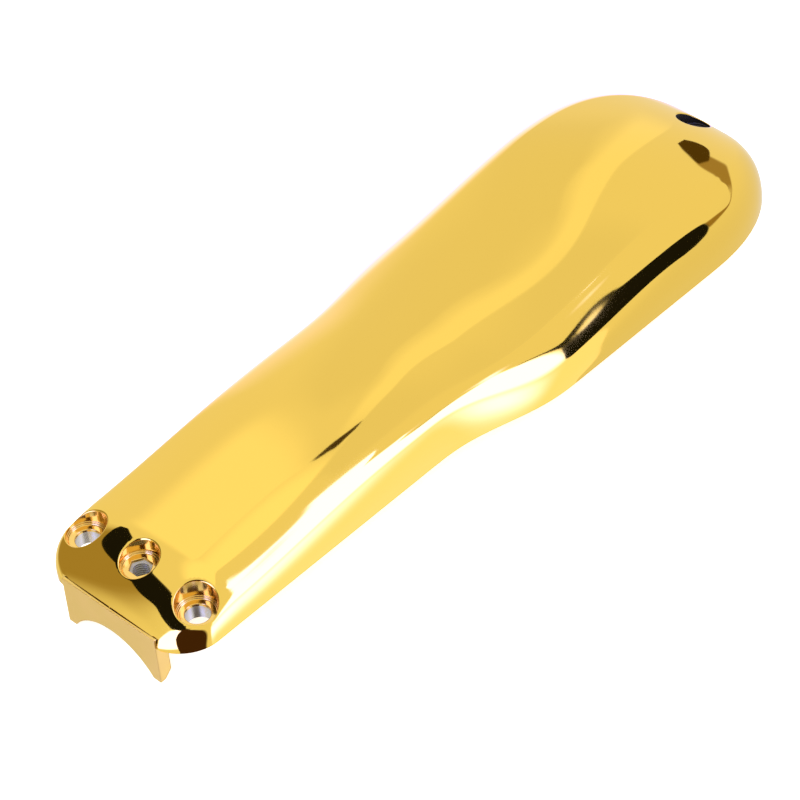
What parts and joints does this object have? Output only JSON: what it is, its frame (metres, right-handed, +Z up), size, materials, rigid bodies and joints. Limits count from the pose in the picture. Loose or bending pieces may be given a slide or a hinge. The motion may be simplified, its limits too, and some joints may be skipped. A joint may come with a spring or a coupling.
{
  "type": "hair clipper housing cover",
  "caption": "Long thin-walled lid of a hair clipper: narrow arched front, wider domed tail, counterbored screw holes, and a small bridge wall with pointed prongs under the front lip.",
  "frame": {"origin": "where the centre screw's axis meets the rim plane at the front", "axes": "+Y from the front lip to the tail, +Z up through the crown, +X to the right; the rim lies in the plane Z = 0"},
  "size_m": [0.0454, 0.1507, 0.0238],
  "materials": {
    "mirror_gold": "mirror gold plating on moulded plastic",
    "satin_gold": "satin gold plating on moulded plastic",
    "sleeve_steel": "turned, bright",
    "insert_steel": "rough, threaded"
  },
  "bodies": {
    "root": {"cover_shell": "mirror_gold", "front_bridge": "satin_gold", "left_screw_sleeve": "sleeve_steel", "right_screw_sleeve": "sleeve_steel", "centre_thread_insert": "insert_steel"}
  },
  "joints": []
}
